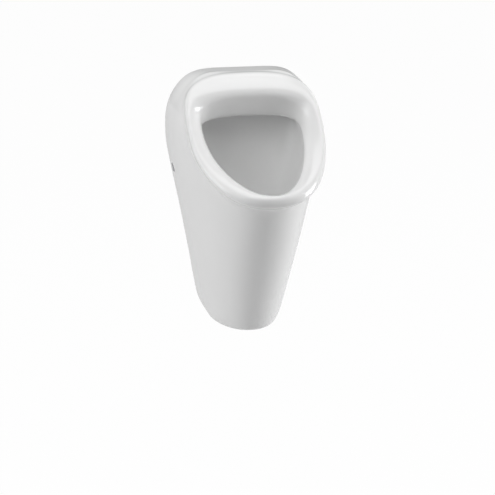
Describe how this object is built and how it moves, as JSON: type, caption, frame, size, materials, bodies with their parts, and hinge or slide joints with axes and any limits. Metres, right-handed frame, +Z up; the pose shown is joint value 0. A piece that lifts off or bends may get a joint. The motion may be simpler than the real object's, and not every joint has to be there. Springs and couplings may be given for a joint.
{
  "type": "wall hung urinal",
  "caption": "Wall hung urinal: raised-rim glazed china bowl on a tapered trunk, hollow behind, with strainer, concealed bottle trap, flush spreader and side fixings.",
  "frame": {"origin": "on the wall's face, midway between the four wall screw holes of the two brackets, 335 mm above the underside of the china", "axes": "+X to the right seen from the front, +Y into the wall (the front faces -Y), +Z up"},
  "size_m": [0.3182, 0.3662, 0.5401],
  "materials": {
    "glaze": "white gloss glaze on vitreous china",
    "chrome_plate": "polished chrome plate",
    "cap_chrome": "chrome plated plastic cap",
    "rubber_seals": "black rubber",
    "brass_nuts": "machined brass",
    "copper_pipe": "drawn pipe",
    "trap_plastic": "white moulded plastic",
    "grey_pipe": "grey waste pipe",
    "zinc_steel": "zinc plated steel",
    "nylon": "natural nylon"
  },
  "bodies": {
    "china": {"ceramic_body": "glaze", "waste_flange": "chrome_plate", "waste_seal": "rubber_seals", "waste_washer": "rubber_seals", "waste_nut": "brass_nuts", "trap_dip_tube": "trap_plastic", "trap_inlet_seal": "rubber_seals", "trap_inlet_nut": "trap_plastic", "trap_body": "trap_plastic", "trap_base_seal": "rubber_seals", "trap_base_cup": "trap_plastic", "outlet_seal": "rubber_seals", "outlet_pipe": "grey_pipe", "outlet_nut": "trap_plastic", "spreader": "chrome_plate", "spreader_seal": "rubber_seals", "spreader_nut": "brass_nuts", "inlet_washer": "rubber_seals", "inlet_pipe": "copper_pipe", "inlet_nut": "brass_nuts", "wall_bracket_left": "zinc_steel", "wall_bracket_right": "zinc_steel", "side_bushes": "nylon", "screw_washers": "zinc_steel", "side_screws": "zinc_steel", "bracket_nuts": "zinc_steel", "side_cap_left": "cap_chrome", "side_cap_right": "cap_chrome"},
    "strainer": {"strainer": "chrome_plate"}
  },
  "joints": [
    {"name": "strainer_lift", "type": "slide", "parent": "china", "child": "strainer", "axis": [0, 0, 1], "range_m": [0, 0.12]}
  ]
}
